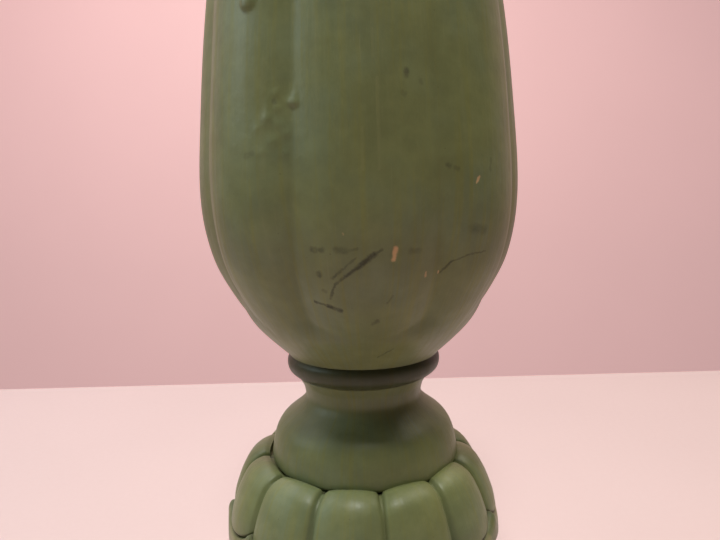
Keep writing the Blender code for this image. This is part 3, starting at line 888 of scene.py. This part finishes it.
PIECES = [   # node, how it is made, its body, its slot, its finish
    ("felt_pad", felt_pad, "stand", "felt", pressed_felt),
    ("foot_plinth", foot_plinth, "stand", "plinth_paint", sage_paint),
    ("foot_moulding", foot_moulding, "stand", "moulding_paint", sage_paint),
    ("lower_spool", lower_spool, "stand", "spool_paint", sage_paint),
    ("knop_girdle", knop_girdle, "stand", "girdle_paint", sage_paint),
    ("gadrooned_knop", gadrooned_knop, "stand", "knop_paint", sage_paint),
    ("neck_collar", neck_collar, "stand", "collar_paint", sage_paint),
    # The bead's paint is darkened to a third: painted shade, where the body above shades it.
    ("neck_bead", neck_bead, "stand", "bead_paint", lambda name: sage_paint(name, depth=0.33)),
    ("fluted_body", fluted_body, "stand", "body_paint", lambda name: sage_paint(name, marked=True)),
    ("shoulder_ring", shoulder_ring, "stand", "shoulder_paint", sage_paint),
    ("upper_neck", upper_neck, "stand", "upper_neck_paint", sage_paint),
    ("capital", capital, "stand", "capital_paint", sage_paint),
    ("drip_pan", drip_pan, "candle_cup", "pan_brass", aged_brass),
    ("candle_socket", candle_socket, "candle_cup", "socket_brass", aged_brass),
    ("socket_collar", socket_collar, "candle_cup", "collar_brass", aged_brass),
]

for node, make, body, slot, finish in PIECES:
    piece = make()
    piece.data.materials.append(finish(slot))
    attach(piece, body)
    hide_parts(node)

for node in ("tie_rod", "bottom_washer", "spring_washer", "bottom_nut", "top_washer", "top_nut"):
    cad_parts[node].data.materials.clear()
    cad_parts[node].data.materials.append(zinc_steel(node + "_zinc"))


# ---------------------------------------------------------------- room, light and camera

def slab(name, low, high, material):
    """A plain box of the room, from one corner to the other, in metres."""
    x0, y0, z0 = low
    x1, y1, z1 = high
    points = [(x, y, z) for z in (z0, z1) for y in (y0, y1) for x in (x0, x1)]
    sides = [(0, 2, 3, 1), (4, 5, 7, 6), (0, 1, 5, 4), (2, 6, 7, 3), (0, 4, 6, 2), (1, 3, 7, 5)]
    mesh = bpy.data.meshes.new(name)
    mesh.from_pydata(points, [], sides)
    mesh.materials.append(material)
    thing = bpy.data.objects.new(name, mesh)
    bpy.context.scene.collection.objects.link(thing)


TABLE_EDGE = 0.324
TABLE_HALF = 0.9
slab("floor", (-TABLE_HALF, -TABLE_HALF, -0.03), (TABLE_HALF, TABLE_EDGE, 0.0),
     wall_paint("floor_paint", rgb(0.68, 0.53, 0.53)))
slab("backdrop", (-3.5, 1.1, -1.5), (3.5, 1.15, 3.0),
     wall_paint("backdrop_paint", rgb(0.90, 0.555, 0.55), 0.46))


def area_light(name, place, size, watts, colour, target=None):
    """A square soft light that looks at the middle of the candlestick or at a target."""
    light = bpy.data.lights.new(name, "AREA")
    light.size = size
    light.energy = watts
    light.color = colour
    lamp = bpy.data.objects.new(name, light)
    bpy.context.scene.collection.objects.link(lamp)
    lamp.location = place
    middle = Vector(target) if target else (cad_box[0] + cad_box[1]) / 2
    lamp.rotation_euler = (middle - lamp.location).to_track_quat("-Z", "Y").to_euler()


area_light("ceiling", (0.0, -0.31, 1.0), 0.13, 5.0, (1.0, 1.0, 0.94))
area_light("window", (-0.9, -0.10, 0.66), 0.6, 2.8, (0.82, 0.96, 1.0))
area_light("skylight", (-0.42, 0.20, 0.95), 0.4, 2.6, (0.92, 1.0, 0.97))
area_light("lamp", (0.46, 0.18, 0.95), 0.4, 3.7, (1.0, 0.95, 0.78))
area_light("wall_wash", (-0.35, 0.55, 1.3), 0.9, 5.2, (1.0, 0.95, 0.94), (-0.25, 1.1, 0.35))

world = bpy.data.worlds.new("room")
world.use_nodes = True
background = world.node_tree.nodes["Background"]
background.inputs["Color"].default_value = rgb(0.86, 0.66, 0.62)
sky = Nodes(world.node_tree)
by_camera = sky.add("ShaderNodeLightPath", {}).outputs["Is Camera Ray"]
strength = sky.add("ShaderNodeMapRange", {"Value": by_camera, "To Min": 0.025, "To Max": 0.85}).outputs[0]
world.node_tree.links.new(strength, background.inputs["Strength"])
bpy.context.scene.world = world
bpy.context.scene.view_settings.view_transform = "Standard"

CAMERA_PLACE = (-0.00053, -0.1782, 0.165)
CAMERA_DOWN = 7.8     # degrees
CAMERA_ROLL = -1.5

camera = bpy.data.cameras.new("camera")
camera.lens = 30
camera.sensor_width = 36
camera.clip_start = 0.01
eye = bpy.data.objects.new("camera", camera)
bpy.context.scene.collection.objects.link(eye)
tilt = Euler((radians(90 - CAMERA_DOWN), 0, 0)).to_matrix().to_4x4()
eye.matrix_world = Matrix.Translation(CAMERA_PLACE) @ tilt @ Matrix.Rotation(radians(CAMERA_ROLL), 4, "Z")
bpy.context.scene.camera = eye
